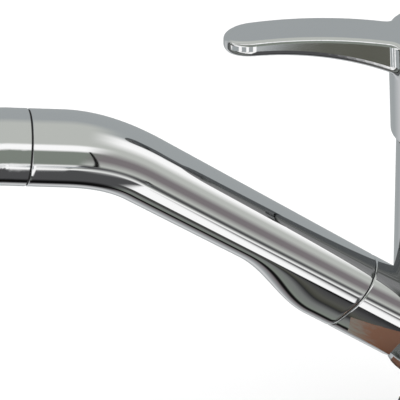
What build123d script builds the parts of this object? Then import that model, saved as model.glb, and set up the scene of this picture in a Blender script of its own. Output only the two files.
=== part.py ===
from build123d import *
import math
import os

# Single-lever kitchen faucet with a pull-out spray wand, in millimetres.
# Origin on the deck at the column's axis, Z up, the wand reaches towards -Y, X runs across.

# Deck fixing
gasket_thickness = 1.0
gasket_inset = 1.6
plate_thickness = 1.6
shank_radius = 17.0
shank_bore = 14.8
shank_length = 60.0
plain_length = 28.0
shank_thread_radius = 16.7
shank_chamfer = 1.0
deck_thickness = 30.0
washer_radius = 22.0
rubber_washer_thickness = 3.0
steel_washer_thickness = 1.6
nut_across_flats = 41.0
nut_round_radius = 22.5
nut_height = 9.0
nut_turn = 30.0
thread_clearance = 0.05
loose_clearance = 0.4

# Swivel between shank and column
spindle_radius = 16.6
collar_width = 2.0
glide_thickness = 1.6
glide_width = 5.0
floor_thickness = 2.6
bush_wall = 2.0
glide_washer_thickness = 0.7
retaining_ring_thickness = 1.3
retaining_ring_width = 3.0
retaining_groove_depth = 0.9
retaining_ring_gap = 6.0
spindle_lip = 1.4
running_clearance = 0.05
body_gap = 0.3

# Column
column_radius = 25.0
column_top = 113.5
column_wall = 3.5
foot_radius = 28.0
foot_edge = 3.4
edge_round = 0.8
shoulder_width = 1.6
shoulder_height = 62.0

# Dock of the wand: centre of the seam, slope of the wand
dock_reach = 44.4
dock_height = 37.0
wand_slope = 35.2
dock_gap = 0.4
dock_radius = 13.9
keel_depth = 10.8
keel_angle = 19.0
liner_wall = 1.2
liner_bore = 10.3
liner_depth = 24.0
hose_passage = 9.0
passage_depth = 39.0
seam_round = 1.0
seam_edge_round = 0.5

# Wand centre line: neck up to a gentle bend, then on to the head and down to the spray face
neck_radius = 15.4
barrel_drop = 4.6
barrel_length = 12.0
swell_length = 45.0
neck_run = 137.4
bend_radius = 79.0
head_rise = 7.2
head_radius = 17.05
head_seam_run = 35.0
head_run = 75.0
head_bend_radius = 31.0
face_tilt = 10.0
face_run = 40.0
face_radius = 18.0
wand_wall = 2.0
face_wall = 1.6
swell_section_count = 7
bend_section_count = 6
turn_section_count = 9

# Inside the wand
spigot_length = 19.0
spigot_clearance = 0.3
spigot_grip = 11.0
spigot_ring_section = 1.0
spigot_ring_stand = 0.25
spigot_ring_places = (6.5, 14.5)
hose_thread_radius = 7.0
hose_thread_depth = 12.0
check_valve_radius = 6.2
check_valve_length = 7.0
tube_radius = 5.5
tube_bore = 4.0
tube_socket = 6.0

# Spray head
head_seal_width = 0.8
head_seal_inset = 0.6
head_collar_length = 6.0
collar_clearance = 0.15
diverter_radius = 12.0
diverter_bore = 4.2
diverter_foot = 3.0
face_recess = 0.8
spray_plate_thickness = 3.0
nozzle_count = 18
nozzle_circle = 11.6
nozzle_radius = 0.95
nozzle_bore = 0.4
nozzle_reach = 0.9
nozzle_pad_thickness = 1.5
nozzle_pad_width = 3.4
aerator_radius = 7.2
aerator_hole = 0.8
aerator_pitch = 2.5
aerator_row_count = 2
rocker_place = 30.0
rocker_length = 25.0
rocker_width = 11.5
rocker_proud = 0.9
rocker_thickness = 3.4
rocker_clearance = 0.7
rocker_pin_radius = 1.0
rocker_pin_depth = 7.4
rocker_pin_length = 11.0
rocker_lug_width = 4.0
rocker_lug_length = 4.4
rocker_lug_room = 1.5
plunger_radius = 2.4
plunger_offset = 7.0
plunger_length = 9.0
plunger_grip = 1.0
plunger_room = 0.6

# Mixing valve
valve_block_height = 24.0
port_circle = 9.5
port_angles = (90.0, 15.0, 165.0)
port_thread_radius = 4.5
port_thread_depth = 12.0
waterway_radius = 3.0
seat_clearance = 0.05
housing_radius = 17.5
housing_wall = 1.7
housing_height = 26.0
housing_lid = 2.0
cartridge_base_height = 4.0
seal_section = 1.5
fixed_disc_height = 3.5
moving_disc_height = 3.5
moving_disc_radius = 9.0
carrier_height = 6.0
carrier_key_height = 2.0
carrier_key_length = 14.4
rotor_gap = 0.2
rotor_radius = 12.0
rotor_rise = 4.5
rotor_slot_length = 18.0
rotor_key_slot_length = 29.0
rotor_key_slot_height = 2.2
stem_width = 8.0
stem_depth = 9.0
stem_foot_radius = 3.6
stem_foot_drop = 16.0
stem_neck_radius = 2.4
stem_bar_drop = 7.0
stem_clearance = 0.15
pivot_pin_radius = 2.0
pivot_rise = 4.0
nut_wall = 2.5
nut_skirt = 9.0
nut_lip_bore = 14.3
bonnet_radius = 23.6
bonnet_wall = 2.0
bonnet_opening = 19.0

# Lever
hub_radius = 27.4
hub_flare = 2.4
hub_wall = 2.8
hub_gap = 0.6
lever_lift = 22.0
hub_cavity_rise = 26.0
boss_radius = 9.5
boss_rise = 18.0
stem_top_rise = 34.5
rim_bevel = 2.0
rim_bevel_height = 4.0
lever_crest_height = 174.4
lever_crest_reach = 78.0
lever_top_radius = 220.0
lever_tip_thickness = 9.0
lever_belly_reach = 88.0
lever_belly_radius = 136.0
lever_reach = 102.3
lever_tip_length = 13.0
lever_tip_width = 18.6
lever_root_width = 21.5
lever_edge_round = 2.2
lever_belly_round = 4.0
lever_root_round = 5.0
set_screw_radius = 2.5
set_screw_length = 5.0
set_screw_rise = 23.0
screw_cap_radius = 3.2
screw_cap_length = 2.2
screw_cap_recess = 0.3

parts = {}


def plug(radius, low, high):
    """Solid cylinder on the local Z axis between two heights."""
    return Pos(0, 0, low) * Cylinder(radius, high - low, align=(Align.CENTER, Align.CENTER, Align.MIN))


def ring(outer, inner, low, high):
    """Flat ring or sleeve on the local Z axis between two heights."""
    return plug(outer, low, high) - plug(inner, low, high)


def bar(width, depth, low, high):
    """Solid rectangular bar on the local Z axis between two heights."""
    return Pos(0, 0, low) * Box(width, depth, high - low, align=(Align.CENTER, Align.CENTER, Align.MIN))


def drum(radius, width, y, z):
    """Solid cylinder lying across the faucet, along X."""
    return Pos(0, y, z) * Rot(0, 90, 0) * Cylinder(radius, width)


def smooth(share):
    """Eased step from 0 to 1."""
    held = min(max(share, 0.0), 1.0)
    return held * held * (3.0 - 2.0 * held)


# Heights of the swivel stack
plate_top = gasket_thickness + plate_thickness
floor_bottom = plate_top + glide_thickness
floor_top = floor_bottom + floor_thickness
clip_bottom = floor_top + glide_washer_thickness + running_clearance
clip_top = clip_bottom + retaining_ring_thickness
spindle_top = clip_top + spindle_lip
foot_bottom = plate_top + body_gap
collar_radius = spindle_radius + collar_width
bush_radius = spindle_radius + running_clearance + bush_wall
glide_inner = collar_radius + loose_clearance
glide_outer = glide_inner + glide_width

# Shank: hollow threaded stem with a collar on the base plate and a spindle for the column
shank = plug(shank_thread_radius, -shank_length, -plain_length)
shank = chamfer(shank.edges().group_by(Axis.Z)[0], shank_chamfer)
shank += plug(shank_radius, -plain_length, plate_top)
shank += plug(collar_radius, gasket_thickness, floor_bottom - running_clearance)
shank += plug(spindle_radius, plate_top, spindle_top)
groove_radius = spindle_radius - retaining_groove_depth
shank -= ring(collar_radius, groove_radius, clip_bottom, clip_top)
shank -= plug(shank_bore, -shank_length, spindle_top)
parts["shank"] = shank

# Base plate and gasket under the column
base_plate = ring(foot_radius - edge_round / 2, collar_radius, gasket_thickness, plate_top)
parts["base_plate"] = base_plate
parts["deck_gasket"] = ring(foot_radius - gasket_inset, collar_radius, 0, gasket_thickness)

# Washers and nut below the deck
washer_top = -deck_thickness - rubber_washer_thickness
nut_top = washer_top - steel_washer_thickness
washer_bore = shank_radius + loose_clearance
parts["rubber_washer"] = ring(washer_radius, washer_bore, washer_top, -deck_thickness)
parts["steel_washer"] = ring(washer_radius, washer_bore, nut_top, washer_top)
nut_outline = RegularPolygon(nut_across_flats / 2, 6, major_radius=False, rotation=nut_turn)
nut_blank = extrude(nut_outline, -nut_height)
nut_round = plug(nut_round_radius, -nut_height, 0)
mounting_nut = Pos(0, 0, nut_top) * (nut_blank & chamfer(nut_round.edges(), shank_chamfer))
mounting_nut -= plug(shank_thread_radius + thread_clearance, nut_top - nut_height, nut_top)
parts["mounting_nut"] = mounting_nut

# Bearing pieces of the turning column
parts["glide_ring"] = ring(glide_outer, glide_inner, plate_top, floor_bottom)
parts["swivel_bush"] = ring(bush_radius, spindle_radius + running_clearance, floor_bottom, floor_top)
glide_washer_bore = spindle_radius + loose_clearance
washer_width_radius = groove_radius + retaining_ring_width
parts["glide_washer"] = ring(
    washer_width_radius, glide_washer_bore, floor_top, floor_top + glide_washer_thickness
)
retaining_ring = ring(washer_width_radius, groove_radius, clip_bottom, clip_top)
ring_gap = bar(retaining_ring_gap, 3 * retaining_ring_width, clip_bottom, clip_top)
retaining_ring -= Pos(0, spindle_radius, 0) * ring_gap
parts["retaining_ring"] = retaining_ring

# Dock plane: its Z axis is the way the wand comes out, its Y axis is upwards
slope = math.radians(wand_slope)
wand_way = Vector(0, -math.cos(slope), math.sin(slope))
dock = Plane(origin=(0, -dock_reach, dock_height), x_dir=(1, 0, 0), z_dir=wand_way)


def keel_face(radius, depth):
    """Round section whose underside runs down to a keel; a plain circle where the depth is the radius."""
    turn = math.radians(keel_angle)
    flank = Vector(radius * math.cos(turn), -radius * math.sin(turn))
    flank_way = Vector(-math.sin(turn), -math.cos(turn))
    handle = radius * 4 / 3 * math.tan((math.pi / 2 - turn) / 4)
    stretch = (depth + flank.Y) / (radius + flank.Y)
    half = CenterArc((0, 0), radius, -keel_angle, 90 + keel_angle)
    half += Bezier(flank, flank + flank_way * handle * stretch, (handle, -depth), (0, -depth))
    return make_face(half + mirror(half, about=Plane.YZ))


# Column with its foot, a hollow casting, and the slanted socket brazed onto it
bore_radius = column_radius - column_wall
cavity_radius = bore_radius - shoulder_width
foot_round = min(edge_round, (foot_radius - column_radius) / 3)
column = plug(foot_radius, foot_bottom, foot_bottom + foot_edge)
column = fillet(column.edges().group_by(Axis.Z)[-1], foot_round)
column += plug(column_radius, foot_bottom, column_top)
column = fillet(column.edges().group_by(Axis.Z)[-1], edge_round)
foot_face = column.faces().filter_by(Axis.Z).sort_by(Axis.Z)[1]
column = fillet(foot_face.edges().sort_by(SortBy.RADIUS)[0], foot_round)
column_body = column + plug(cavity_radius, foot_bottom, column_top)
socket = extrude(keel_face(dock_radius, dock_radius + keel_depth), -dock_reach / math.cos(slope))
socket = dock * Pos(0, barrel_drop, -dock_gap) * fillet(socket.edges().group_by(Axis.Z)[-1], seam_round)
above_deck = bar(4 * dock_reach, 4 * dock_reach, foot_bottom, column_top)
body_shell = column - plug(cavity_radius, floor_top, shoulder_height)
body_shell -= plug(bore_radius, shoulder_height, column_top)
body_shell -= plug(bush_radius, foot_bottom, floor_top)
body_shell -= plug(glide_outer + loose_clearance, foot_bottom, floor_bottom)
liner_radius = liner_bore + liner_wall
hose_way = dock * plug(hose_passage, -passage_depth, -liner_depth)
liner_pocket = dock * plug(liner_radius, -liner_depth, 0)
body_shell -= liner_pocket + hose_way
dock_socket = (socket & above_deck) - column_body
parts["body_shell"] = body_shell
parts["dock_socket"] = dock_socket - liner_pocket - hose_way
parts["dock_liner"] = dock * ring(liner_radius, liner_bore, -liner_depth, -dock_gap - seam_round)

# Valve block on the shoulder inside the column, with three threaded ports from below
block_top = shoulder_height + valve_block_height
ports = [Rot(0, 0, angle) * Pos(port_circle, 0, 0) for angle in port_angles]
valve_block = plug(bore_radius - seat_clearance, shoulder_height, block_top)
for port in ports:
    valve_block -= port * plug(port_thread_radius, shoulder_height, shoulder_height + port_thread_depth)
    valve_block -= port * plug(waterway_radius, shoulder_height, block_top)
parts["valve_block"] = valve_block

# Cartridge: base with seals, housing, fixed and moving ceramic discs
housing_bore = housing_radius - housing_wall
housing_top = block_top + housing_height
base_top = block_top + cartridge_base_height
fixed_top = base_top + fixed_disc_height
moving_top = fixed_top + moving_disc_height
carrier_top = moving_top + carrier_height
lid_bottom = housing_top - housing_lid
seal_radius = waterway_radius + seal_section
cartridge_base = plug(housing_bore - seat_clearance, block_top, base_top)
fixed_disc = plug(housing_bore - seat_clearance, base_top, fixed_top)
seals = []
for port in ports:
    cartridge_base -= port * plug(seal_radius, block_top, block_top + seal_section)
    cartridge_base -= port * plug(waterway_radius, block_top, base_top)
    fixed_disc -= port * plug(waterway_radius, base_top, fixed_top)
    seals.append(port * ring(seal_radius, waterway_radius, block_top, block_top + seal_section))
parts["cartridge_base"] = cartridge_base
parts["cartridge_seals"] = Compound(children=seals)
parts["fixed_disc"] = fixed_disc
rotor_bore = rotor_radius + running_clearance
cartridge_housing = ring(housing_radius, housing_bore, block_top, lid_bottom)
cartridge_housing += ring(housing_radius, rotor_bore, lid_bottom, housing_top)
parts["cartridge_housing"] = cartridge_housing

# Moving disc with its mixing hollow, and the carrier that the stem pushes
moving_disc = plug(moving_disc_radius, fixed_top, moving_top)
moving_disc -= plug(moving_disc_radius - 2 * seal_section, fixed_top, fixed_top + moving_disc_height / 2)
parts["moving_disc"] = moving_disc
key_width = stem_width - stem_clearance
foot_pocket = stem_foot_radius + 2 * stem_clearance
disc_carrier = plug(moving_disc_radius, moving_top, carrier_top)
key_top = carrier_top + carrier_key_height
disc_carrier += bar(key_width, carrier_key_length, carrier_top, key_top)
disc_carrier -= plug(foot_pocket, moving_top + stem_clearance, key_top)
parts["disc_carrier"] = disc_carrier

# Rotor in the housing's lid, slotted for the stem, with the pin that the lever tilts on
pivot_height = column_top + pivot_rise
rotor_bottom = carrier_top + rotor_gap
rotor_top = pivot_height + rotor_rise
rotor = plug(housing_bore - rotor_gap, rotor_bottom, lid_bottom - rotor_gap)
rotor += plug(rotor_radius, rotor_bottom, rotor_top)
slot_width = stem_width + 2 * stem_clearance
rotor -= bar(slot_width, rotor_slot_length, rotor_bottom, rotor_top)
rotor -= bar(slot_width, rotor_key_slot_length, rotor_bottom, rotor_bottom + rotor_key_slot_height)
pin_bore = drum(pivot_pin_radius, 4 * rotor_radius, 0, pivot_height)
rotor -= pin_bore
parts["cartridge_rotor"] = rotor
parts["pivot_pin"] = pin_bore & plug(rotor_radius - stem_clearance, rotor_bottom, rotor_top)

# Nut over the cartridge and the domed bonnet under the lever's hub
nut_radius = bore_radius - seat_clearance
nut_lip_top = housing_top + nut_wall
cartridge_nut = ring(nut_radius, housing_radius + seat_clearance, housing_top - nut_skirt, housing_top)
cartridge_nut += ring(housing_radius + nut_wall, nut_lip_bore, housing_top, nut_lip_top)
parts["cartridge_nut"] = cartridge_nut
dome = Pos(0, 0, pivot_height)
opening_height = math.sqrt(bonnet_radius**2 - bonnet_opening**2)
bonnet = dome * (Sphere(bonnet_radius) - Sphere(bonnet_radius - bonnet_wall))
bonnet &= plug(bonnet_radius, column_top, pivot_height + opening_height)
parts["bonnet"] = bonnet

# Lever: hub and arm under one long arched top, hollow inside
hub_bottom = column_top + hub_gap
lift = math.radians(lever_lift)
rear_rise = (hub_radius * math.sin(lift) - pivot_rise + hub_gap) / math.cos(lift)
rear_height = pivot_height + rear_rise
hub_height = lever_crest_height - hub_bottom
hub = Pos(0, 0, hub_bottom) * Cone(
    hub_radius, hub_radius + hub_flare, hub_height, align=(Align.CENTER, Align.CENTER, Align.MIN)
)
tip_start = lever_reach - lever_tip_length
belly_height = lever_crest_height - lever_tip_thickness
tip_side = lever_tip_width / 2
root_side = lever_root_width / 2
arm_outline = Polyline((-tip_side, -tip_start), (-root_side, 0), (root_side, 0), (tip_side, -tip_start))
arm_outline += EllipticalCenterArc((0, -tip_start), tip_side, lever_tip_length, start_angle=180, arc_size=180)
arm = extrude(Pos(0, 0, pivot_height) * make_face(arm_outline), lever_crest_height - pivot_height)
arm -= drum(lever_belly_radius, 4 * hub_radius, -lever_belly_reach, belly_height - lever_belly_radius)
belly = arm.faces().filter_by(GeomType.CYLINDER).sort_by(Axis.Z)[0]
arm = fillet(belly.edges().sort_by(Axis.Y)[:-1], lever_belly_round)
lever = hub + arm
lever &= drum(lever_top_radius, 4 * hub_radius, -lever_crest_reach, lever_crest_height - lever_top_radius)
root_edges = lever.edges().filter_by_position(Axis.Y, -hub_radius - hub_flare, 0)
root_edges = root_edges.filter_by_position(Axis.X, -root_side, root_side)
lever = fillet(root_edges, lever_root_round)
crown = lever.faces().filter_by(GeomType.CYLINDER).sort_by(SortBy.AREA)[-1]
lever = fillet(crown.edges(), lever_edge_round)
rim_tilt = math.degrees(math.atan2(rear_height - hub_bottom, 2 * hub_radius))
rim = Pos(0, 0, (hub_bottom + rear_height) / 2) * Rot(rim_tilt, 0, 0)
lever -= rim * plug(2 * hub_radius, -hub_radius, 0)
bevel_waste = plug(2 * hub_radius, 0, 2 * rim_bevel_height)
bevel_waste -= Cone(
    hub_radius - rim_bevel,
    hub_radius + rim_bevel,
    2 * rim_bevel_height,
    align=(Align.CENTER, Align.CENTER, Align.MIN),
)
lever -= rim * bevel_waste
cavity_top = pivot_height + hub_cavity_rise
boss_bottom = pivot_height + boss_rise
hollow = plug(hub_radius - hub_wall, 0, cavity_top) - plug(boss_radius, boss_bottom, cavity_top)
lever -= hollow
stem_top = pivot_height + stem_top_rise
lever -= bar(stem_width + 2 * seat_clearance, stem_depth + 2 * seat_clearance, boss_bottom, stem_top)

# Set screw from the rear, through the hub's wall into the boss, under a small cap
screw_way = Plane(origin=(0, 0, pivot_height + set_screw_rise), x_dir=(1, 0, 0), z_dir=(0, 1, 0))
screw_start = stem_depth / 2
lever -= screw_way * plug(set_screw_radius, 0, boss_radius)
lever -= screw_way * plug(screw_cap_radius, boss_radius, 2 * hub_radius)
parts["lever_handle"] = lever
parts["set_screw"] = screw_way * plug(set_screw_radius, screw_start, screw_start + set_screw_length)
cap_share = (pivot_height + set_screw_rise - hub_bottom) / hub_height
cap_end = hub_radius + hub_flare * cap_share - screw_cap_recess
parts["screw_cap"] = screw_way * plug(screw_cap_radius, cap_end - screw_cap_length, cap_end)

# Stem: square bar through the rotor, rounded foot in the carrier
foot_height = pivot_height - stem_foot_drop
bar_bottom = pivot_height - stem_bar_drop
stem = bar(stem_width, stem_depth, bar_bottom, stem_top)
stem += plug(stem_neck_radius, foot_height, bar_bottom)
stem += Pos(0, 0, foot_height) * Sphere(stem_foot_radius)
stem -= drum(pivot_pin_radius + running_clearance, 2 * stem_width, 0, pivot_height)
parts["cartridge_stem"] = stem

# Wand centre line from the dock, round the bend and down to the spray face
neck_foot = dock.from_local_coords((0, barrel_drop, 0))
rise = math.radians(head_rise)
tilt = math.radians(face_tilt)
head_way = Vector(0, -math.cos(rise), math.sin(rise))
face_way = Vector(0, -math.sin(tilt), -math.cos(tilt))
bend_corner = neck_foot + wand_way * neck_run
head_corner = bend_corner + head_way * head_run
face_centre = head_corner + face_way * face_run
wand_line = FilletPolyline(
    neck_foot, bend_corner, head_corner, face_centre, radius=[bend_radius, head_bend_radius]
)
bend_turn = math.radians(wand_slope - head_rise)
bend_reach = bend_radius * math.tan(bend_turn / 2)
bend_start = neck_run - bend_reach
bend_end = bend_start + bend_radius * bend_turn
seam_place = bend_end + head_seam_run - bend_reach
head_turn = math.radians(90 - face_tilt + head_rise)
head_reach = head_bend_radius * math.tan(head_turn / 2)
turn_start = seam_place + head_run - head_seam_run - head_reach
turn_end = turn_start + head_bend_radius * head_turn
wand_end = turn_end + face_run - head_reach


def wand_plane(place):
    """Plane square to the wand's centre line, at a distance from the dock along it."""
    at = wand_line.position_at(place, position_mode=PositionMode.LENGTH)
    way = wand_line.tangent_at(place, position_mode=PositionMode.LENGTH)
    return Plane(origin=at, x_dir=(1, 0, 0), z_dir=way)


def wand_section(place, grow):
    """Section of the wand: a keeled barrel, the slim round neck, then the fuller head."""
    swell = 1 - smooth((place - barrel_length) / swell_length)
    fuller = smooth((place - bend_start) / (bend_end - bend_start))
    spread = smooth((place - turn_start) / (turn_end - turn_start))
    radius = dock_radius + (neck_radius - dock_radius) * min(place / bend_start, 1)
    radius += (head_radius - neck_radius) * fuller + (face_radius - head_radius) * spread
    radius += grow
    outline = Circle(radius) if place > seam_place else keel_face(radius, radius + keel_depth * swell)
    return wand_plane(place) * outline


def spaced(start, end, count):
    """Evenly spaced places, both ends included."""
    return [start + (end - start) * step / (count - 1) for step in range(count)]


def wand_loft(places, grow):
    """Smooth skin through the wand's sections."""
    return loft([wand_section(place, grow) for place in places])


# Wand shell from the dock to the head's seam
swell_end = barrel_length + swell_length
shell_places = [0, barrel_length / 2] + spaced(barrel_length, swell_end, swell_section_count)
shell_places += [(swell_end + bend_start) / 2]
shell_places += spaced(bend_start, bend_end, bend_section_count)
shell_places += [(bend_end + seam_place) / 2, seam_place]
wand_shell = wand_loft(shell_places, 0)
wand_shell = fillet(wand_shell.faces().filter_by(GeomType.PLANE).edges(), seam_edge_round)
wand_shell -= wand_loft(shell_places, -wand_wall)
parts["wand_shell"] = wand_shell

# Spigot in the barrel's end, with two rings and the hose's thread
spigot_radius = liner_bore - spigot_clearance
ring_seat = spigot_radius - 2 * spigot_ring_section + spigot_ring_stand
spigot_end = -spigot_length
tube_way = dock * Pos(0, barrel_drop, 0)
grip_radius = dock_radius - wand_wall - seat_clearance
grip = extrude(keel_face(grip_radius, grip_radius + keel_depth), spigot_grip - seam_round)
dock_spigot = tube_way * Pos(0, 0, seam_round) * grip
dock_spigot += dock * plug(spigot_radius, spigot_end, seam_round)
valve_low = spigot_end + hose_thread_depth
valve_high = valve_low + check_valve_length
dock_spigot -= dock * plug(hose_thread_radius, spigot_end, valve_low)
dock_spigot -= dock * plug(check_valve_radius, valve_low, valve_high)
tube_low = spigot_grip - tube_socket
dock_spigot -= tube_way * plug(tube_radius, tube_low, spigot_grip)
dock_spigot -= tube_way * plug(tube_bore, valve_high, tube_low)
rings = []
for place in spigot_ring_places:
    groove = ring(liner_bore, ring_seat, -place - spigot_ring_section, -place + spigot_ring_section)
    dock_spigot -= dock * groove
    rings.append(dock * Pos(0, 0, -place) * Torus(ring_seat + spigot_ring_section, spigot_ring_section))
parts["dock_spigot"] = dock_spigot
parts["spigot_rings"] = Compound(children=rings)
parts["check_valve"] = dock * ring(check_valve_radius, tube_bore, valve_low, valve_high)

# Water tube along the wand, from the spigot to the diverter
diverter_place = turn_start - tube_socket
tube_line = wand_line.trim(tube_low / wand_line.length, turn_start / wand_line.length)
tube_face = wand_plane(tube_low) * (Circle(tube_radius) - Circle(tube_bore))
parts["waterway_tube"] = sweep(tube_face, path=tube_line)

# Spray head: shell with a collar into the wand, and the seal in the seam
head_start = seam_place + head_seal_width
turn_places = spaced(turn_start, turn_end, turn_section_count) + [wand_end]
wall_end = head_start + wand_wall
head_shell = wand_loft([head_start, (head_start + turn_start) / 2] + turn_places, 0)
seam = wand_plane(seam_place)
head_collar_radius = head_radius - wand_wall - collar_clearance
head_collar_bore = head_collar_radius - wand_wall
head_shell += seam * plug(head_collar_radius, -head_collar_length, head_seal_width)
head_shell -= wand_loft([wall_end, (wall_end + turn_start) / 2] + turn_places, -wand_wall)
head_shell -= seam * plug(head_collar_bore, -head_collar_length, wall_end - seam_place)
parts["head_seal"] = seam * ring(head_radius - head_seal_inset, head_collar_radius, 0, head_seal_width)

# Rocker on the outside of the head's bend, on a cross pin in the diverter
rocker_at = wand_plane(turn_start + rocker_place)
rocker_seat = Plane(origin=rocker_at.origin, x_dir=rocker_at.z_dir, z_dir=rocker_at.y_dir)
rocker_places = spaced(turn_start, turn_end, turn_section_count)
window = extrude(
    SlotOverall(rocker_length + 2 * rocker_clearance, rocker_width + 2 * rocker_clearance), 2 * head_radius
)
head_shell -= rocker_seat * window
rocker_skin = wand_loft(rocker_places, rocker_proud)
rocker_skin -= wand_loft(rocker_places, rocker_proud - rocker_thickness)
rocker = rocker_skin & (rocker_seat * extrude(SlotOverall(rocker_length, rocker_width), 2 * head_radius))
pin_height = head_radius - rocker_pin_depth
rocker_under = head_radius + rocker_proud - rocker_thickness
pin_seat = rocker_seat * Pos(0, 0, pin_height) * Rot(90, 0, 0)
lug = bar(rocker_lug_length, rocker_lug_width, pin_height, rocker_under + rocker_proud)
lug += Pos(0, 0, pin_height) * Rot(90, 0, 0) * Cylinder(rocker_lug_length / 2, rocker_lug_width)
rocker += rocker_seat * lug
rocker -= pin_seat * Cylinder(rocker_pin_radius + running_clearance, 2 * rocker_lug_width)
plunger_seat = rocker_seat * Pos(plunger_offset, 0, 0)
plunger_high = rocker_under + plunger_grip
plunger_low = rocker_under - plunger_length
plunger = plunger_seat * plug(plunger_radius, plunger_low, plunger_high)
parts["rocker_button"] = rocker - plunger
parts["rocker_plunger"] = plunger
parts["rocker_pin"] = pin_seat * Cylinder(rocker_pin_radius, rocker_pin_length)

# Diverter: bent body with the tube's socket, a foot behind the nozzles and room for rocker and plunger
plate_place = face_recess + spray_plate_thickness
pad_place = plate_place + nozzle_pad_thickness
diverter_end = wand_end - pad_place
diverter_line = wand_line.trim(diverter_place / wand_line.length, diverter_end / wand_line.length)
diverter_face = Circle(diverter_radius) - Circle(diverter_bore)
diverter = sweep(wand_plane(diverter_place) * diverter_face, path=diverter_line)
diverter -= wand_plane(diverter_place) * plug(tube_radius, 0, tube_socket)
face_bore = face_radius - face_wall
spray_face = wand_plane(wand_end)
head_shell -= spray_face * plug(face_bore, -pad_place - diverter_foot, 0)
parts["head_shell"] = head_shell
diverter += spray_face * ring(
    face_bore - seat_clearance, diverter_bore, -pad_place - diverter_foot, -pad_place
)
slot_floor = pin_height - rocker_lug_length / 2 - rocker_lug_room / 2
slot_length = rocker_lug_length + 2 * rocker_lug_room
diverter -= rocker_seat * bar(slot_length, rocker_lug_width + rocker_lug_room / 2, slot_floor, head_radius)
diverter -= pin_seat * Cylinder(rocker_pin_radius, rocker_pin_length)
diverter -= plunger_seat * plug(plunger_radius + plunger_room, plunger_low - diverter_bore, head_radius)
parts["diverter_body"] = diverter

# Spray face: plate, rubber nozzles and the aerator in the middle
nozzles = PolarLocations(nozzle_circle, nozzle_count)
spray_plate = plug(face_bore - seat_clearance, -plate_place, -face_recess)
spray_plate -= plug(aerator_radius, -plate_place, -face_recess)
pad_outer = nozzle_circle + nozzle_pad_width / 2
nozzle_pad = ring(pad_outer, pad_outer - nozzle_pad_width, -pad_place, -plate_place)
for nozzle in nozzles:
    spray_plate -= nozzle * plug(nozzle_radius, -plate_place, -face_recess)
    nozzle_pad += nozzle * plug(nozzle_radius, -plate_place, nozzle_reach - face_recess)
    nozzle_pad -= nozzle * plug(nozzle_bore, -pad_place, nozzle_reach)
parts["spray_plate"] = spray_face * spray_plate
parts["nozzle_pad"] = spray_face * nozzle_pad
aerator = plug(aerator_radius - seat_clearance, -pad_place, -face_recess)
aerator_rows = 2 * aerator_row_count + 1
for hole in HexLocations(aerator_pitch / math.sqrt(3), aerator_rows, aerator_rows):
    if hole.position.length < aerator_radius - aerator_pitch / 2:
        aerator -= hole * plug(aerator_hole, -pad_place, -face_recess)
parts["aerator"] = spray_face * aerator

os.makedirs("parts", exist_ok=True)
for name, solid in parts.items():
    export_step(solid, f"parts/{name}.step")
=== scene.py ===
import math

import bmesh
import bpy
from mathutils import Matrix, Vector
from mathutils.geometry import interpolate_bezier


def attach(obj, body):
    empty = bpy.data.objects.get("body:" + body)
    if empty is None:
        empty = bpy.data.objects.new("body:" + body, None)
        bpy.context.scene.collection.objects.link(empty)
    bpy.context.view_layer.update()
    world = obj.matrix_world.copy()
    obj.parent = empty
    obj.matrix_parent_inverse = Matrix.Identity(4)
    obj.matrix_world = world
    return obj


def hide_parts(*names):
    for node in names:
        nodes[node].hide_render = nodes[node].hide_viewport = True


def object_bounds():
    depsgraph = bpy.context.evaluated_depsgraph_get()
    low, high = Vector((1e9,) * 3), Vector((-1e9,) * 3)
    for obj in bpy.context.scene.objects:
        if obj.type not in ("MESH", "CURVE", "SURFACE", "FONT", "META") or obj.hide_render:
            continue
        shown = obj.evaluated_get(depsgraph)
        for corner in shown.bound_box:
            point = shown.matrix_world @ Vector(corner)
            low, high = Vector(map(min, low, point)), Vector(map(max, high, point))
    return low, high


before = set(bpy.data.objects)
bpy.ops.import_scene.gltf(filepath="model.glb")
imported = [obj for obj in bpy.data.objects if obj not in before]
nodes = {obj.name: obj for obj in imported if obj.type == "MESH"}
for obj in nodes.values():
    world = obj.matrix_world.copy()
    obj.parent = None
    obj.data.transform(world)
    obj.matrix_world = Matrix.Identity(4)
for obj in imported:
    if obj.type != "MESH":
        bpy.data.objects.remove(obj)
cad_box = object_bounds()

# Deck fixing: hollow brass shank with a fine thread, rubber and steel washers, brass nut.
# The shank goes down through the deck, and the nut clamps the washers against its underside.


def group_tree(name, inputs, outputs):
    """New shader node group with its sockets, its input node and its output node."""
    group = bpy.data.node_groups.new(name, "ShaderNodeTree")
    for side, sockets in (("INPUT", inputs), ("OUTPUT", outputs)):
        for label, kind in sockets.items():
            group.interface.new_socket(name=label, in_out=side, socket_type=kind)
    return group, group.nodes.new("NodeGroupInput"), group.nodes.new("NodeGroupOutput")


def math_node(tree, operation, first, second=None):
    """Math node fed by sockets or plain numbers."""
    node = tree.nodes.new("ShaderNodeMath")
    node.operation = operation
    for socket, value in zip(node.inputs, (first, second)):
        if value is None:
            continue
        if isinstance(value, (int, float)):
            socket.default_value = value
        else:
            tree.links.new(value, socket)
    return node.outputs[0]


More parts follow.
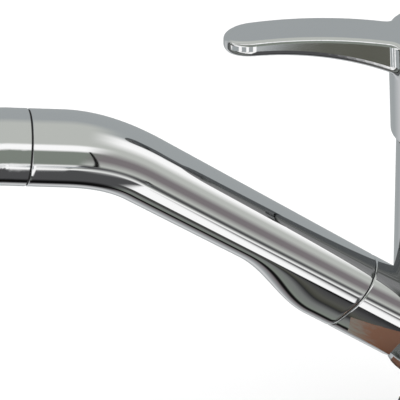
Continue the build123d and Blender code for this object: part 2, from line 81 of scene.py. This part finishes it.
# Uneven surface: noise in object space gives a small bump and a small change of roughness.
NOISE_DETAIL = 3.0
NOISE_MIDDLE = 0.5
BUMP_DISTANCE = 0.001
uneven, entry, leave = group_tree(
    "uneven",
    dict.fromkeys(("Scale", "Height", "Roughness", "Spread"), "NodeSocketFloat"),
    {"Roughness": "NodeSocketFloat", "Normal": "NodeSocketVector"},
)
noise = uneven.nodes.new("ShaderNodeTexNoise")
noise.inputs["Detail"].default_value = NOISE_DETAIL
uneven.links.new(uneven.nodes.new("ShaderNodeTexCoord").outputs["Object"], noise.inputs["Vector"])
uneven.links.new(entry.outputs["Scale"], noise.inputs["Scale"])
centred = math_node(uneven, "SUBTRACT", noise.outputs[0], NOISE_MIDDLE)
change = math_node(uneven, "MULTIPLY", centred, entry.outputs["Spread"])
uneven.links.new(math_node(uneven, "ADD", change, entry.outputs["Roughness"]), leave.inputs["Roughness"])
bump = uneven.nodes.new("ShaderNodeBump")
bump.inputs["Distance"].default_value = BUMP_DISTANCE
uneven.links.new(entry.outputs["Height"], bump.inputs["Strength"])
uneven.links.new(noise.outputs[0], bump.inputs["Height"])
uneven.links.new(bump.outputs["Normal"], leave.inputs["Normal"])


def finish(name, colour, roughness, metallic=0.0, scale=300.0, height=0.0, spread=0.05):
    """Material: a plain colour on a slightly uneven surface."""
    material = bpy.data.materials.new(name)
    material.use_nodes = True
    tree = material.node_tree
    shader = tree.nodes["Principled BSDF"]
    shader.inputs["Base Color"].default_value = (*colour, 1.0)
    shader.inputs["Metallic"].default_value = metallic
    surface = tree.nodes.new("ShaderNodeGroup")
    surface.node_tree = uneven
    for label, value in (("Scale", scale), ("Height", height), ("Roughness", roughness), ("Spread", spread)):
        surface.inputs[label].default_value = value
    tree.links.new(surface.outputs["Roughness"], shader.inputs["Roughness"])
    if height:
        tree.links.new(surface.outputs["Normal"], shader.inputs["Normal"])
    return material


def wear(material, *names):
    """Gives CAD nodes their material."""
    for name in names:
        nodes[name].data.materials.clear()
        nodes[name].data.materials.append(material)


brass = finish("brass", (0.62, 0.44, 0.19), roughness=0.28, metallic=1.0)
steel = finish("steel", (0.55, 0.56, 0.57), roughness=0.30, metallic=1.0)
black_rubber = finish("black_rubber", (0.015, 0.015, 0.016), roughness=0.65, height=0.15)
wear(brass, "shank", "mounting_nut")
wear(steel, "steel_washer", "base_plate")
wear(black_rubber, "rubber_washer", "deck_gasket")

# Fine thread on the shank below the deck, as ridges square to its axis.
THREAD_PITCH = 0.0015
THREAD_TOP = -0.0275
THREAD_RADIUS = 0.0172
RIDGE_HEIGHT = THREAD_PITCH / 4
metal = brass.node_tree
axes = metal.nodes.new("ShaderNodeSeparateXYZ")
metal.links.new(metal.nodes.new("ShaderNodeTexCoord").outputs["Object"], axes.inputs[0])
x, y, z = axes.outputs
ridges = math_node(metal, "SINE", math_node(metal, "MULTIPLY", z, 2 * math.pi / THREAD_PITCH))
squares = [math_node(metal, "MULTIPLY", side, side) for side in (x, y)]
near_axis = math_node(metal, "LESS_THAN", math_node(metal, "ADD", *squares), THREAD_RADIUS**2)
on_thread = math_node(metal, "MULTIPLY", near_axis, math_node(metal, "LESS_THAN", z, THREAD_TOP))
thread = metal.nodes.new("ShaderNodeBump")
thread.inputs["Distance"].default_value = RIDGE_HEIGHT
metal.links.new(math_node(metal, "MULTIPLY", ridges, on_thread), thread.inputs["Height"])
metal.links.new(thread.outputs["Normal"], metal.nodes["Principled BSDF"].inputs["Normal"])

# Swivel: slippery plastic rings between the shank's collar and the turning column.
# A spring clip in the spindle's groove keeps the column down.
white_plastic = finish("white_plastic", (0.78, 0.78, 0.75), roughness=0.38)
wear(white_plastic, "glide_ring", "swivel_bush", "glide_washer")
wear(steel, "retaining_ring")

# Column and docking socket: cast and chrome-plated, polished like a mirror.
# The plastic sleeve in the socket is pressed in.
chrome = finish("chrome", (0.86, 0.87, 0.88), roughness=0.035, metallic=1.0, scale=60.0, spread=0.02)
wear(chrome, "body_shell", "dock_socket")
wear(white_plastic, "dock_liner")

# Valve and cartridge: brass block, moulded cartridge with ceramic discs, brass nut.
# They sit in the column's bore, under the chromed bonnet.
cartridge_plastic = finish("cartridge_plastic", (0.42, 0.44, 0.48), roughness=0.42)
ceramic = finish("ceramic", (0.84, 0.82, 0.77), roughness=0.22)
wear(brass, "valve_block", "cartridge_nut", "cartridge_stem")
wear(cartridge_plastic, "cartridge_base", "cartridge_housing", "disc_carrier", "cartridge_rotor")
wear(ceramic, "fixed_disc", "moving_disc")
wear(black_rubber, "cartridge_seals")
wear(steel, "pivot_pin")
wear(chrome, "bonnet")

# Lever: one polished chromed casting, held on the square stem by a set screw from the rear.
# A small plug closes the screw's hole.
grey_gloss = finish("grey_gloss", (0.09, 0.094, 0.1), roughness=0.16)
wear(chrome, "lever_handle")
wear(steel, "set_screw")
wear(grey_gloss, "screw_cap")

# Wand: chromed tube with a moulded spigot, a check valve and a water tube inside.
# It lies in the socket on two rubber rings.
WAND_SLOPE = math.radians(35.2)
HEAD_RISE = math.radians(7.2)
DOCK_PLACE = Vector((0.0, -0.0444, 0.037))
BARREL_DROP = 0.0046
NECK_RUN = 0.1374
BEND_RADIUS = 0.079
BEND_TURN = WAND_SLOPE - HEAD_RISE
BEND_REACH = BEND_RADIUS * math.tan(BEND_TURN / 2)
BEND_START = NECK_RUN - BEND_REACH
BEND_END = BEND_START + BEND_RADIUS * BEND_TURN
HEAD_SEAM_RUN = 0.035
SEAM_PLACE = BEND_END + HEAD_SEAM_RUN - BEND_REACH
BARREL_LENGTH = 0.012
SWELL_LENGTH = 0.045
DOCK_RADIUS = 0.0139
NECK_RADIUS = 0.0154
HEAD_RADIUS = 0.01705
KEEL_DEPTH = 0.0108
KEEL_ANGLE = math.radians(19.0)
WAND_WALL = 0.002
SEAM_EDGE = 0.0005
ARC_STEPS = 44
FLANK_STEPS = 30
WALL_STEPS = 120
EDGE_STEPS = 5
SHARP_ANGLE = math.radians(30.0)


def rising(slope):
    """Direction of a tube that rises towards the front at a slope."""
    return Vector((0.0, -math.cos(slope), math.sin(slope)))


def above(slope):
    """Direction square to such a tube, on its upper side."""
    return Vector((0.0, math.sin(slope), math.cos(slope)))


def eased(share):
    """Eased step from 0 to 1."""
    held = min(max(share, 0.0), 1.0)
    return held * held * (3.0 - 2.0 * held)


def keel_outline(radius, depth):
    """Outline of a section of the wand: round above, drawn out below to a keel of that depth."""
    flank = Vector((math.cos(KEEL_ANGLE), -math.sin(KEEL_ANGLE))) * radius
    handle = radius * 4.0 / 3.0 * math.tan((math.pi / 2 - KEEL_ANGLE) / 4)
    stretch = (depth + flank.y) / (radius + flank.y)
    low = flank - Vector((math.sin(KEEL_ANGLE), math.cos(KEEL_ANGLE))) * handle * stretch
    half = []
    for step in range(ARC_STEPS):
        turn = math.pi / 2 - (math.pi / 2 + KEEL_ANGLE) * step / ARC_STEPS
        half.append(Vector((math.cos(turn), math.sin(turn))) * radius)
    half += interpolate_bezier(flank, low, Vector((handle, -depth)), Vector((0.0, -depth)), FLANK_STEPS + 1)
    return half + [Vector((-spot.x, spot.y)) for spot in half[-2:0:-1]]


def wand_ring(place, grow):
    """Points of the wand's section at a distance from the dock, by the same rule as the solid's."""
    slope = WAND_SLOPE - min(max(place - BEND_START, 0.0) / BEND_RADIUS, BEND_TURN)
    centre = DOCK_PLACE + above(WAND_SLOPE) * BARREL_DROP
    centre += rising(WAND_SLOPE) * min(place, BEND_START)
    centre += (above(slope) - above(WAND_SLOPE)) * BEND_RADIUS
    centre += rising(slope) * max(place - BEND_END, 0.0)
    swell = 1.0 - eased((place - BARREL_LENGTH) / SWELL_LENGTH)
    fuller = eased((place - BEND_START) / (BEND_END - BEND_START))
    radius = DOCK_RADIUS + (NECK_RADIUS - DOCK_RADIUS) * min(place / BEND_START, 1.0)
    radius += (HEAD_RADIUS - NECK_RADIUS) * fuller + grow
    outline = keel_outline(radius, radius + KEEL_DEPTH * swell)
    return [centre + Vector((spot.x, 0.0, 0.0)) + above(slope) * spot.y for spot in outline]


def skin(name, rings):
    """Closed skin over rings of points: circles drawn out to them and bridged, the last to the first."""
    shape = bmesh.new()
    hoops = []
    for ring in rings:
        hoop = bmesh.ops.create_circle(shape, segments=len(ring), radius=1.0)["verts"]
        for corner, spot in zip(hoop, ring):
            corner.co = spot
        hoops.append([shape.edges.get(pair) for pair in zip(hoop, hoop[1:] + hoop[:1])])
    for first, second in zip(hoops, hoops[1:] + hoops[:1]):
        bmesh.ops.bridge_loops(shape, edges=first + second)
    bmesh.ops.recalc_face_normals(shape, faces=shape.faces)
    for face in shape.faces:
        face.smooth = True
    for edge in shape.edges:
        edge.smooth = edge.calc_face_angle() < SHARP_ANGLE
    mesh = bpy.data.meshes.new(name)
    shape.to_mesh(mesh)
    shape.free()
    piece = bpy.data.objects.new(name, mesh)
    bpy.context.scene.collection.objects.link(piece)
    return piece


turns = [math.pi / 2 * step / EDGE_STEPS for step in range(EDGE_STEPS + 1)]
shares = [step / WALL_STEPS for step in range(1, WALL_STEPS)]
dock_end = [(0.0, -WAND_WALL)]
dock_end += [(SEAM_EDGE * (1 - math.cos(turn)), SEAM_EDGE * (math.sin(turn) - 1)) for turn in turns]
seam_end = [(SEAM_PLACE - place, grow) for place, grow in reversed(dock_end)]
outside = [(SEAM_EDGE + (SEAM_PLACE - 2 * SEAM_EDGE) * share, 0.0) for share in shares]
inside = [(SEAM_PLACE * (1 - share), -WAND_WALL) for share in shares]
profile = dock_end + outside + seam_end + inside
wand_skin = skin("wand_skin", [wand_ring(place, grow) for place, grow in profile])
wand_skin.data.materials.append(chrome)
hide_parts("wand_shell")
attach(wand_skin, "wand")
dark_plastic = finish("dark_plastic", (0.035, 0.037, 0.04), roughness=0.36)
wear(dark_plastic, "dock_spigot")
wear(black_rubber, "spigot_rings")
wear(white_plastic, "check_valve", "waterway_tube")

# Spray head: chromed shell screwed to the wand against a rubber ring.
# Its face has rubber nozzles round an aerator, and a rocker changes stream to spray.
grey_rubber = finish("grey_rubber", (0.24, 0.25, 0.26), roughness=0.55)
wear(chrome, "head_shell")
wear(black_rubber, "head_seal")
wear(dark_plastic, "diverter_body", "rocker_plunger", "spray_plate")
wear(steel, "rocker_pin")
wear(grey_gloss, "rocker_button")
wear(grey_rubber, "nozzle_pad")
wear(white_plastic, "aerator")

# Studio floor: pale and even, under the shank's end. The chrome doesn't mirror it,
# because its reflections come from the panels further down.
FLOOR_SIZE = 6.0
scene = bpy.context.scene
scene.view_settings.view_transform = "Standard"
bpy.ops.mesh.primitive_plane_add(size=FLOOR_SIZE, location=(0.0, 0.0, cad_box[0].z))
floor = bpy.context.object
floor.name = "floor"
floor.data.materials.append(finish("floor", (0.9, 0.9, 0.9), roughness=0.8))
floor.visible_glossy = False

# Brown board lying in front of the foot, which only reflections see, under the socket.
# It is paler in front and turns brown behind, in patches.
BROWN_SIZE = (0.018, 0.030, 1.0)
BROWN_PLACE = (0.013, -0.035, 0.0)
BROWN = (0.27, 0.12, 0.065)
PALER = (0.26, 0.25, 0.21)
PALER_END = -0.15
BROWN_START = 0.5
PATCH_SCALE = 5.0


def ramp(tree, value, start, end, low=0.0, high=1.0, kind="LINEAR"):
    """Value that goes from low to high while another goes from start to end."""
    node = tree.nodes.new("ShaderNodeMapRange")
    node.interpolation_type = kind
    for label, number in (("From Min", start), ("From Max", end), ("To Min", low), ("To Max", high)):
        node.inputs[label].default_value = number
    tree.links.new(value, node.inputs["Value"])
    return node.outputs["Result"]


def mixed(tree, share, first, second):
    """Colour between two others, which are sockets or plain colours."""
    node = tree.nodes.new("ShaderNodeMix")
    node.data_type = "RGBA"
    tree.links.new(share, node.inputs["Factor"])
    sockets = [socket for socket in node.inputs if socket.type == "RGBA"]
    for socket, colour in zip(sockets, (first, second)):
        if isinstance(colour, tuple):
            socket.default_value = (*colour, 1.0)
        else:
            tree.links.new(colour, socket)
    return next(socket for socket in node.outputs if socket.type == "RGBA")


bpy.ops.mesh.primitive_plane_add(size=1.0, location=BROWN_PLACE)
brown_board = bpy.context.object
brown_board.name = "brown_board"
brown_board.scale = BROWN_SIZE
stained = finish("brown_board", BROWN, roughness=0.6)
brown_board.data.materials.append(stained)
wood = stained.node_tree
on_wood = wood.nodes.new("ShaderNodeTexCoord").outputs["Object"]
patches = wood.nodes.new("ShaderNodeTexNoise")
patches.inputs["Scale"].default_value = PATCH_SCALE
wood.links.new(on_wood, patches.inputs["Vector"])
axes = wood.nodes.new("ShaderNodeSeparateXYZ")
wood.links.new(on_wood, axes.inputs[0])
rearward = math_node(wood, "ADD", axes.outputs["Y"], patches.outputs[0])
stain = mixed(wood, ramp(wood, rearward, PALER_END, BROWN_START, kind="SMOOTHSTEP"), PALER, BROWN)
wood.links.new(stain, wood.nodes["Principled BSDF"].inputs["Base Color"])
brown_board.visible_camera = False
brown_board.visible_diffuse = False
brown_board.visible_shadow = False

# Studio panels: soft bands of colour all round, as the chrome mirrors them.
# They are laid out along the wand's head and along its neck, for where the photograph was taken.
AZIMUTH = math.radians(81.5)
ELEVATION = math.radians(32.0)
CAMERA_DISTANCE = 2.64
LOOK_AT = Vector((0.0, -0.1126, 0.0902))
HALF_TURN = 0.5
to_camera = Vector((
    math.sin(AZIMUTH) * math.cos(ELEVATION),
    -math.cos(AZIMUTH) * math.cos(ELEVATION),
    math.sin(ELEVATION),
))
camera_place = LOOK_AT + to_camera * CAMERA_DISTANCE

band_share, entry, leave = group_tree(
    "band_share",
    dict.fromkeys(("Direction", "Toward", "Upward"), "NodeSocketVector"),
    {"Share": "NodeSocketFloat"},
)
components = []
for label in ("Upward", "Toward"):
    dot = band_share.nodes.new("ShaderNodeVectorMath")
    dot.operation = "DOT_PRODUCT"
    band_share.links.new(entry.outputs["Direction"], dot.inputs[0])
    band_share.links.new(entry.outputs[label], dot.inputs[1])
    components.append(dot.outputs["Value"])
whole_turns = math_node(band_share, "DIVIDE", math_node(band_share, "ARCTAN2", *components), 2 * math.pi)
band_share.links.new(math_node(band_share, "ADD", whole_turns, HALF_TURN), leave.inputs["Share"])

world = bpy.data.worlds.new("studio")
scene.world = world
world.use_nodes = True
sky = world.node_tree
sky.nodes.clear()
directions = sky.nodes.new("ShaderNodeTexCoord").outputs["Generated"]


def band_place(slope):
    """Where a direction shows across a tube of that slope, from 0 at its lower outline to 1 at its upper."""
    toward = (to_camera - rising(slope) * to_camera.dot(rising(slope))).normalized()
    upward = toward.cross(rising(slope))
    angle = sky.nodes.new("ShaderNodeGroup")
    angle.node_tree = band_share
    angle.inputs["Toward"].default_value = toward
    angle.inputs["Upward"].default_value = upward if upward.z > 0 else -upward
    sky.links.new(directions, angle.inputs["Direction"])
    return angle.outputs["Share"]


def share_of(across):
    """Band place of what shows at a height across a tube: 1 is its upper outline, -1 its lower."""
    return math.asin(across) / math.pi + HALF_TURN


def bands(place, stops):
    """Colours of the surroundings across a tube."""
    blend = sky.nodes.new("ShaderNodeValToRGB")
    elements = blend.color_ramp.elements
    while len(elements) < len(stops):
        elements.new(0.5)
    for element, (across, colour) in zip(elements, sorted(stops)):
        element.position = share_of(across)
        element.color = (*colour, 1.0)
    sky.links.new(place, blend.inputs["Fac"])
    return blend.outputs["Color"]


def along(way):
    """How far a direction goes along a way."""
    dot = sky.nodes.new("ShaderNodeVectorMath")
    dot.operation = "DOT_PRODUCT"
    dot.inputs[1].default_value = way
    sky.links.new(directions, dot.inputs[0])
    return dot.outputs["Value"]


def off_cone(slope):
    """How far a direction lies from those that a tube of that slope shows to the camera."""
    offset = math_node(sky, "ADD", along(rising(slope)), to_camera.dot(rising(slope)))
    return math_node(sky, "ABSOLUTE", offset)


def linear(*levels):
    """Scene colour of display levels from 0 to 255."""
    return tuple(((v / 255 + 0.055) / 1.055) ** 2.4 if v > 10 else v / 255 / 12.92 for v in levels)


CEILING = linear(156, 160, 161)
WALL = linear(184, 186, 181)
SOFTBOX = linear(252, 251, 250)
MAUVE = linear(121, 115, 117)
GREEN = linear(124, 130, 122)
OLIVE = linear(86, 86, 77)
GREY = linear(76, 76, 77)
SHADE = linear(116, 118, 116)
GAP = linear(16, 16, 16)
PALE_FLOOR = linear(206, 206, 207)
head_place = band_place(HEAD_RISE)
head_bands = bands(head_place, [
    (1.0, CEILING),
    (0.72, CEILING),
    (0.60, WALL),
    (0.10, WALL),
    (0.05, SOFTBOX),
    (-0.05, SOFTBOX),
    (-0.10, GREEN),
    (-0.41, GREEN),
    (-0.46, SOFTBOX),
    (-0.535, SOFTBOX),
    (-0.565, GREY),
    (-0.80, GREY),
    (-0.85, GAP),
    (-0.90, GAP),
    (-0.95, PALE_FLOOR),
    (-0.985, CEILING),
])
neck_bands = bands(band_place(WAND_SLOPE), [
    (1.0, CEILING),
    (0.60, CEILING),
    (0.51, SOFTBOX),
    (0.41, SOFTBOX),
    (0.27, WALL),
    (0.17, WALL),
    (0.03, MAUVE),
    (-0.09, MAUVE),
    (-0.24, WALL),
    (-0.30, GREY),
    (-0.34, GREY),
    (-0.39, WALL),
    (-0.42, SOFTBOX),
    (-0.65, SOFTBOX),
    (-0.66, GAP),
    (-0.672, GAP),
    (-0.682, GREY),
    (-0.695, OLIVE),
    (-0.704, GAP),
    (-0.714, GREY),
    (-0.735, SHADE),
    (-0.79, GREEN),
    (-0.805, GAP),
    (-0.835, GAP),
    (-0.86, MAUVE),
    (-0.91, CEILING),
    (-0.95, PALE_FLOOR),
    (-0.985, CEILING),
])

# Bend: the head's bands pass into the neck's, by which of the two a direction lies nearer to.
HEAD_ALONE = 0.25
NECK_ALONE = 0.75
NEVER_ZERO = 0.001
off_head = off_cone(HEAD_RISE)
off_both = math_node(sky, "ADD", math_node(sky, "ADD", off_head, off_cone(WAND_SLOPE)), NEVER_ZERO)
neckward = math_node(sky, "DIVIDE", off_head, off_both)
on_neck = ramp(sky, neckward, HEAD_ALONE, NECK_ALONE, kind="SMOOTHSTEP")
surroundings = mixed(sky, on_neck, head_bands, neck_bands)

# Dark board low beside the camera, where the lever's flat side mirrors it.
# A grey strip with lamps goes on from its end, where the lever's tip mirrors that.
UPWARD = Vector((0.0, 0.0, 1.0))
LEVER_SIDE = Vector((1.0, -0.0162, 0.0)).normalized()
LEVER_SPOT = Vector((0.0101, -0.060, 0.166))
BOARD_EDGE = math.radians(1.4)
BOARD_CORE = math.radians(0.9)
BOARD_END = 0.008
BOARD_END_SOFT = 0.0008
STRIP_HALF = 0.08
STRIP_SOFT = 0.02
STRIP_LENGTH = 0.95
STRIP_FADE = 0.1
LAMP_SPACING = 0.28
LAMP_EDGE = 0.2
LAMP_CORE = 0.5


def window(value, low, high, soft):
    """1 between two limits and 0 beyond them, with soft edges."""
    return math_node(sky, "MULTIPLY", ramp(sky, value, low - soft, low), ramp(sky, value, high + soft, high))


sight = (camera_place - LEVER_SPOT).normalized()
board_way = LEVER_SIDE * 2.0 * LEVER_SIDE.dot(sight) - sight
tip_way = board_way.cross(UPWARD).normalized()
near_board = along(board_way)
on_board = ramp(sky, near_board, math.cos(BOARD_EDGE), math.cos(BOARD_CORE))
surroundings = mixed(sky, on_board, surroundings, OLIVE)
past_end = along(tip_way - board_way.cross(tip_way))
on_strip = window(along(UPWARD), board_way.z - STRIP_HALF, board_way.z + STRIP_HALF, STRIP_SOFT)
on_strip = math_node(sky, "MULTIPLY", on_strip, window(past_end, BOARD_END, STRIP_LENGTH, BOARD_END_SOFT))
on_strip = math_node(sky, "MULTIPLY", on_strip, ramp(sky, near_board, 0.0, STRIP_FADE))
surroundings = mixed(sky, on_strip, surroundings, CEILING)
lamps = math_node(sky, "SINE", math_node(sky, "MULTIPLY", along(tip_way), 2 * math.pi / LAMP_SPACING))
on_lamp = math_node(sky, "MULTIPLY", on_strip, ramp(sky, lamps, LAMP_EDGE, LAMP_CORE))
surroundings = mixed(sky, on_lamp, surroundings, SOFTBOX)

# Dark upright behind the camera, which the wand's bend mirrors as an arc.
# Its ends are given as places across the head, as those of the bands are.
UPRIGHT_TOP = Vector((0.78, 0.40, 0.48))
UPRIGHT_FOOT = Vector((0.89, 0.25, -0.38))
UPRIGHT_HALF = 0.0065
UPRIGHT_LOW = -0.43
UPRIGHT_HIGH = -0.07
UPRIGHT_SOFT = 0.004
beside = along(UPRIGHT_TOP.cross(UPRIGHT_FOOT).normalized())
on_upright = window(head_place, share_of(UPRIGHT_LOW), share_of(UPRIGHT_HIGH), UPRIGHT_SOFT)
across_upright = window(beside, -UPRIGHT_HALF, UPRIGHT_HALF, UPRIGHT_HALF)
on_upright = math_node(sky, "MULTIPLY", on_upright, across_upright)
surroundings = mixed(sky, on_upright, surroundings, GAP)

# Studio light: the panels for reflections, weaker from the second reflection on,
# and one soft even light for everything else.
GLOSS_STRENGTH = 1.12
SECOND_GLOSS_STRENGTH = 0.3
SOFT_STRENGTH = 1.25
ray = sky.nodes.new("ShaderNodeLightPath")
panels = sky.nodes.new("ShaderNodeBackground")
strength = ramp(sky, ray.outputs["Glossy Depth"], 1.0, 2.0, GLOSS_STRENGTH, SECOND_GLOSS_STRENGTH)
sky.links.new(strength, panels.inputs["Strength"])
sky.links.new(surroundings, panels.inputs["Color"])
soft = sky.nodes.new("ShaderNodeBackground")
soft.inputs["Color"].default_value = (1.0, 1.0, 1.0, 1.0)
soft.inputs["Strength"].default_value = SOFT_STRENGTH
choice = sky.nodes.new("ShaderNodeMixShader")
sky.links.new(ray.outputs["Is Glossy Ray"], choice.inputs[0])
sky.links.new(soft.outputs[0], choice.inputs[1])
sky.links.new(panels.outputs[0], choice.inputs[2])
outlet = sky.nodes.new("ShaderNodeOutputWorld")
sky.links.new(choice.outputs[0], outlet.inputs["Surface"])

# Camera: far off with a long lens, because near and far rims look alike in the photograph.
# It looks down on the wand from its side.
LENS = 540.0
SENSOR = 36.0
CLIP_END = 20.0
camera = bpy.data.objects.new("camera", bpy.data.cameras.new("camera"))
scene.collection.objects.link(camera)
camera.location = camera_place
camera.rotation_euler = (-to_camera).to_track_quat("-Z", "Y").to_euler()
camera.data.lens = LENS
camera.data.sensor_width = SENSOR
camera.data.clip_end = CLIP_END
scene.camera = camera
